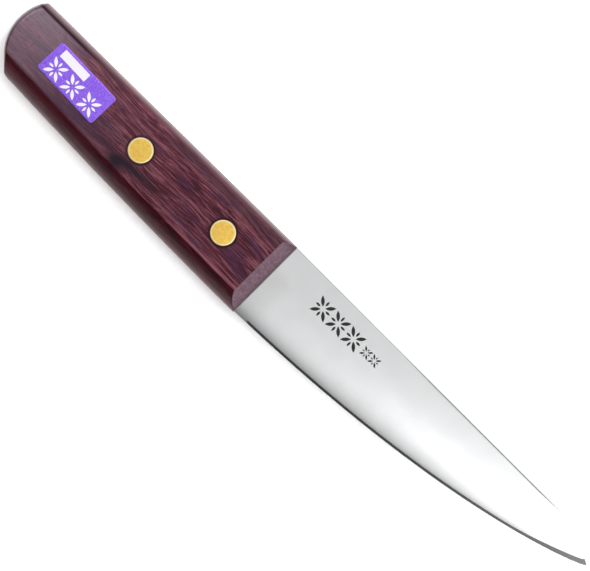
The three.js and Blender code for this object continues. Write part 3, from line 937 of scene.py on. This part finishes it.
class Rosewood(Shader):
    """Dark red-brown wood cut from one block, with streaks and pores that run along X.

    Drift moves a piece within the block. The methods that take a colour lay more on top of it.
    """

    def __init__(self, name, drift):
        super().__init__(name)
        normal = self.add("ShaderNodeTexCoord", output="Normal")
        self.facing_x, self.facing_y, _ = self.split(normal)
        self.in_block = self.moved(self.position, drift)
        grain = self.bent_grain()
        broad = self.streaks(grain, BROAD_GRAIN, 3, 0.5)
        self.streak = self.streaks(grain, STREAK_GRAIN, 3, 0.6)
        self.thread = self.streaks(grain, THREAD_GRAIN, 3, 0.7)
        self.pores = self.streaks(grain, PORE_GRAIN, 2, 0.5)
        figure = self.plus(self.times(broad, 0.4), self.times(self.streak, 0.6))
        threads = self.times(self.minus(self.thread, 0.5), THREAD_CONTRAST)
        self.figure = self.plus(figure, threads)
        # painted shade: a dark line along the upper crease, coming in toward the butt
        crease_shade = self.spot((self.y,), (CREASE_SHADE_Y,), (0.6,))
        self.crease_shade = self.times(crease_shade, self.band(self.x, *CREASE_SHADE_X, 0.0, 0.9))

    def bent_grain(self):
        """The place in the block, moved so that the grain wanders and bends around the knot."""
        wander = self.streaks(self.in_block, (0.02, 0.06, 0.06), 2, 0.5, output="Color")
        wander = self.stretch(self.moved(wander, (-0.5, -0.5, -0.5)), (0.0, 5.0, 4.0))
        bend = self.times(self.spot((self.x, self.y), KNOT, BENT_REACH), BENT_BY)
        bend = self.add("ShaderNodeCombineXYZ", {"Y": bend})
        return self.moved(self.moved(self.in_block, wander), bend)

    def wood(self):
        """The wood: its figure, cooler streaks, zones of painted shade and painted sheen, and dark
        pores.
        """
        color = self.ramp(self.figure, [
            (0.38, srgb(50, 11, 26)),
            (0.45, srgb(74, 26, 42)),
            (0.50, srgb(92, 41, 55)),
            (0.56, srgb(109, 56, 68)),
            (0.63, srgb(134, 82, 90)),
        ])
        cool = self.streaks(self.in_block, (0.05, 0.22, 0.2), 2, 0.5)
        color = self.mix(self.band(cool, 0.5, 0.68, 0.0, 0.6), color, rgba(64, 36, 62))
        for x_range, y_range, amounts, tint in PAINTED_LIGHT_ZONES:
            color = self.mix(self.zone(x_range, y_range, *amounts), color, tint)
        return self.mix(self.band(self.pores, 0.58, 0.72, 0.0, 0.8), color, rgba(30, 8, 18))

    def marked(self, color):
        """Adds the knot, a ring of painted shade around each rivet and a painted highlight along the
        lower crease.
        """
        here = (self.x, self.y)
        knot = self.plus(self.spot(here, KNOT, KNOT_REACH), self.spot(here, KNOT_TAIL, KNOT_TAIL_REACH))
        color = self.mix(self.times(knot, 0.95), color, rgba(20, 6, 22))
        # painted shade: a dark ring in the wood around each rivet
        ring = self.band(self.rivet_distance(), *RIVET_SHADE_RADII, 1.0, 0.0)
        color = self.mix(ring, color, rgba(34, 8, 18))
        # painted highlight: a lighter line along the lower crease
        crease_highlight = self.spot((self.y,), (CREASE_HIGHLIGHT_Y,), (0.5,))
        crease_highlight = self.times(crease_highlight, self.band(self.x, *CREASE_HIGHLIGHT_X, 0.0, 0.55))
        return self.mix(crease_highlight, color, rgba(168, 104, 116))

    def shaded_by_facing(self, color):
        """Adds painted shade by which way a face turns: a deeper red on the faces that turn down, and a
        darker one on those that turn up.
        """
        shaded_deep_red = self.ramp(self.figure, [
            (0.4, srgb(46, 4, 14)),
            (0.5, srgb(76, 8, 24)),
            (0.6, srgb(100, 20, 38)),
        ])
        shaded_dark_red = self.mix(0.6, shaded_deep_red, rgba(26, 15, 25))
        # painted shade on the upper shoulder, and more faintly on the top
        shoulder = self.band(self.facing_y, 0.06, 0.3, 0.0, 0.62)
        top = self.band(self.facing_y, 0.5, 0.9, 0.0, 0.26)
        color = self.mix(self.plus(shoulder, top), color, shaded_dark_red)
        # painted shade on the faces that turn down
        return self.mix(self.band(self.facing_y, -0.1, -0.3, 0.0, 0.92), color, shaded_deep_red)

    def chamfered(self, color):
        """Adds the lighter, greyer face of the front chamfer, sanded and with a painted sheen, its
        greyer nose and its dark upper end.
        """
        sanded = self.band(self.facing_x, 0.45, 0.62)
        scuffs = self.streaks(self.position, (2.2, -0.85, 1.2), 2, 0.5)
        # the sanded chamfer's lighter grey is partly a painted sheen
        sanded_and_sheen = self.ramp(scuffs, [(0.35, srgb(112, 88, 101)), (0.65, srgb(144, 118, 131))])
        color = self.mix(self.times(sanded, 0.8), color, sanded_and_sheen)
        nose = self.band(self.facing_x, 0.82, 0.9, 0.0, 0.5)
        color = self.mix(nose, color, rgba(70, 62, 68))
        upper_end = self.times(sanded, self.band(self.y, 12.4, 14.2, 0.0, 0.5))
        return self.mix(upper_end, color, rgba(58, 46, 54))


def rosewood(name, drift=(0, 0, 0)):
    shader = Rosewood(name, drift)
    color = shader.shaded_by_facing(shader.marked(shader.wood()))
    # painted shade along the upper crease at the butt
    color = shader.mix(shader.crease_shade, color, rgba(14, 6, 10))
    color = shader.chamfered(color)
    relief = shader.plus(shader.thread, shader.times(shader.pores, -0.8))
    normal = shader.bump(relief, 0.12, 0.05)
    roughness = shader.band(shader.streak, 0.3, 0.7, 0.36, 0.31)
    # the sheen is also turned down along that painted shade line
    specular = shader.math("MULTIPLY_ADD", shader.crease_shade, -0.12, 0.14)
    return shader.finish(
        base_color=color,
        roughness=roughness,
        normal=normal,
        specular_ior_level=specular,
    )


# ---- Brass, label film and paper ----

RIM_HIGHLIGHT_RADII = (3.7, 4.4)  # the radii between which a rivet's painted rim highlight comes in

PANEL_CENTRE = (-4.8, 3.7)  # on the label, from its middle
PANEL_HALF = (6.1, 1.6)
LABEL_ROSETTES = {"start": -12.6, "pitch": 8.4, "count": 3, "size": 7.4}
LABEL_ROSETTES_V = -2.1


def brass():
    """Brass sanded flush with the wood: fine marks along the handle and a brighter rim, a painted
    highlight.
    """
    shader = Shader("sanded_brass")
    marks = shader.streaks(shader.position, (0.5, 9.0, 9.0), 3, 0.6)
    cloud = shader.noise(shader.position, 0.8, 3, 0.6)
    color = shader.ramp(cloud, [(0.3, srgb(218, 168, 62)), (0.7, srgb(238, 198, 92))])
    color = shader.mix(shader.times(marks, 0.35), color, rgba(250, 224, 140))
    # painted highlight on the rivet's eased rim
    rim_highlight = shader.band(shader.rivet_distance(), *RIM_HIGHLIGHT_RADII, 0.0, 0.75)
    color = shader.mix(rim_highlight, color, rgba(255, 244, 196))
    normal = shader.bump(marks, 0.15, 0.02)
    return shader.finish(base_color=color, metallic=1.0, roughness=0.28, normal=normal)


def panel(shader, u, v):
    """1 inside the label's blank panel."""
    in_u, in_v = (
        shader.math("LESS_THAN", shader.absolute(shader.minus(value, middle)), half)
        for value, middle, half in zip((u, v), PANEL_CENTRE, PANEL_HALF)
    )
    return shader.times(in_u, in_v)


def label_film():
    """Violet film with a fine speckle, a blank white panel and a row of plain white rosettes."""
    shader = Shader("violet_film")
    centre = {"Center": (*LABEL_CENTRE, 0), "Axis": (0, 0, 1), "Angle": -LABEL_TILT}
    untilted = shader.add("ShaderNodeVectorRotate", {"Vector": shader.position, **centre})
    x, y, _ = shader.split(untilted)
    u, v = shader.minus(x, LABEL_CENTRE[0]), shader.minus(y, LABEL_CENTRE[1])
    speckle = shader.noise(shader.position, 2.6, 3, 0.7)
    violet = shader.ramp(speckle, [
        (0.3, srgb(112, 74, 210)),
        (0.5, srgb(144, 99, 238)),
        (0.7, srgb(184, 142, 252)),
    ])
    rosettes = rosette_row(shader, u, shader.minus(v, LABEL_ROSETTES_V), **LABEL_ROSETTES)
    white = shader.math("MAXIMUM", panel(shader, u, v), rosettes)
    color = shader.mix(white, violet, rgba(252, 247, 255))
    normal = shader.bump(speckle, 0.08, 0.03)
    return shader.finish(base_color=color, roughness=0.42, normal=normal, specular_ior_level=0.15)


def floor_paper():
    """Pale, matt paper with a faint tooth."""
    shader = Shader("pale_floor")
    tooth = shader.noise(shader.position, 0.6, 3, 0.6)
    color = shader.ramp(tooth, [(0.3, (0.86, 0.86, 0.86)), (0.7, (0.9, 0.9, 0.9))])
    return shader.finish(base_color=color, roughness=0.9)


# ---- The pieces ----


def assign(piece, material):
    """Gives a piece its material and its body."""
    piece.data.materials.clear()
    piece.data.materials.append(material)
    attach(piece, "root")


def build_blade():
    """Blade and tang as one piece, whose faces, bevels and spine have materials of their own."""
    blade = make_blade()
    tang = make_tang()
    for material in (steel_face(), steel_bevel(), steel_spine()):
        blade.data.materials.append(material)
        tang.data.materials.append(material)
    cut(blade, "UNION", tang)
    cut(blade, "DIFFERENCE", *[tang_hole(end) for end in RIVETS])
    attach(blade, "root")
    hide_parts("blade")


def build_knife():
    """Makes every piece, and gives back the handle for the light that only it gets."""
    build_blade()
    handle = make_handle()
    assign(handle, rosewood("rosewood"))
    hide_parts("handle")
    filler = make_filler()
    assign(filler, rosewood("filler_rosewood", drift=(37, 11, 5)))
    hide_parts("kerf_filler")
    metal = brass()
    for end in RIVETS:
        for node, half in make_rivet(end).items():
            assign(half, metal)
            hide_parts(node)
    label = make_label()
    assign(label, label_film())
    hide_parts("handle_label")
    return handle


# ---- Stage, light and camera, in metres ----

VIEW_WIDTH = 0.2058  # how much of the scene the picture spans, at the height of the blade
VIEW_CENTRE = (-0.0033, 0.0059)
CAMERA_DISTANCE = 8
KNIFE_TURN = math.radians(45)  # the tip points down to the right
FLOOR_REACH = 12
FLOOR_GAP = 0.0002  # under the handle
HORIZON_LIGHT = 1.03
ZENITH_LIGHT = 0.07
DIM_HEIGHT = 0.85  # the height in the sky, as a sine, from which it is as dim as overhead
SIDE_LOSS = 0.6  # how much of its light the -Y side lacks


def make_floor():
    bm = bmesh.new()
    bmesh.ops.create_grid(bm, x_segments=8, y_segments=8, size=FLOOR_REACH)
    floor = piece_of(bm, "floor")
    floor.location.z = -FLOOR_GAP
    floor.data.materials.append(floor_paper())
    return floor


def make_world():
    """A studio, white at the horizon and dim overhead. Above the horizon the -Y side is dimmer."""
    world = bpy.data.worlds.new("studio")
    world.use_nodes = True
    nodes = Nodes(world.node_tree)
    _, y, z = nodes.split(nodes.add("ShaderNodeTexCoord"))
    rise = nodes.add("ShaderNodeMapRange", {"Value": z, "From Min": 0.0, "From Max": DIM_HEIGHT})
    fade = nodes.times(nodes.times(rise, rise), HORIZON_LIGHT - ZENITH_LIGHT)
    loss = nodes.times(nodes.band(z, 0.05, 0.3), nodes.band(y, -0.5, 0.3, SIDE_LOSS, 0.0))
    strength = nodes.times(nodes.minus(HORIZON_LIGHT, fade), nodes.minus(1.0, loss))
    background = world.node_tree.nodes["Background"]
    nodes.set(background.inputs["Strength"], strength)
    nodes.set(background.inputs["Color"], (1, 1, 1, 1))
    bpy.context.scene.world = world


def area_light(name, location, size, radiance, target=None, turn=0):
    """A softbox that the camera doesn't see. Radiance is what a mirror would show of it.

    It points at a target, or straight down and turned by some degrees.
    """
    data = bpy.data.lights.new(name, "AREA")
    data.shape = "RECTANGLE"
    data.size, data.size_y = size
    data.energy = math.pi * radiance * size[0] * size[1]
    light = bpy.data.objects.new(name, data)
    light.location = location
    light.rotation_euler.z = math.radians(turn)
    if target:
        light.rotation_euler = (Vector(target) - Vector(location)).to_track_quat("-Z", "Y").to_euler()
    light.visible_camera = False
    bpy.context.scene.collection.objects.link(light)
    return light


def light_only(light, piece):
    """Limits a light to one piece."""
    receivers = bpy.data.collections.new(f"{light.name}_receivers")
    receivers.objects.link(piece)
    light.light_linking.receiver_collection = receivers


def make_reflected_lights(handle):
    """The softboxes that show in the steel and on the handle's edges, and light nothing else.

    Each has a height of its own, because lights that lie in one plane hide one another in reflections.
    """
    lights = [
        area_light("ceiling", (0.0, 0.7, 1.5), (3.0, 2.4), 0.33),
        area_light("over_knife", (0.1, 0.2775, 0.55), (1.2, 0.765), 0.58),
        area_light("over_edge", (0.043, -0.042, 0.53), (0.095, 0.022), 0.7, turn=26),
        area_light("over_belly", (0.1, -0.029, 0.52), (0.07, 0.03), 1.15, turn=10),
        area_light("over_tip", (0.33, 0.0, 0.9), (0.4, 0.285), 1.5),
        area_light("over_bevel", (0.43, -0.44, 0.86), (0.35, 0.35), 0.75, target=(0.1, 0, 0)),
        area_light("over_butt", (-0.222, 0.045, 0.15), (0.2, 0.1), 18.0),
    ]
    for light in lights:
        light.visible_diffuse = False
    light_only(lights[-1], handle)


def make_diffuse_lights(floor):
    """The key light, which doesn't show in the steel, and a soft sun that whitens the floor alone."""
    key = area_light("key", (0.0, 0.66, 0.31), (0.5, 0.3), 19.5, target=(0, 0, 0))
    key.visible_glossy = False
    sun = bpy.data.lights.new("floor_wash", "SUN")
    sun.energy = 3.2
    sun.angle = math.radians(40)
    wash = bpy.data.objects.new("floor_wash", sun)
    bpy.context.scene.collection.objects.link(wash)
    light_only(wash, floor)


def make_camera():
    data = bpy.data.cameras.new("camera")
    data.sensor_fit = "HORIZONTAL"
    data.lens = data.sensor_width * CAMERA_DISTANCE / VIEW_WIDTH
    camera = bpy.data.objects.new("camera", data)
    camera.location = (*VIEW_CENTRE, ORIGIN.z + CAMERA_DISTANCE)
    camera.rotation_euler = (0, 0, KNIFE_TURN)
    bpy.context.scene.collection.objects.link(camera)
    bpy.context.scene.camera = camera


make_camera()
make_world()
make_diffuse_lights(make_floor())
make_reflected_lights(build_knife())
bpy.context.scene.view_settings.view_transform = "Standard"
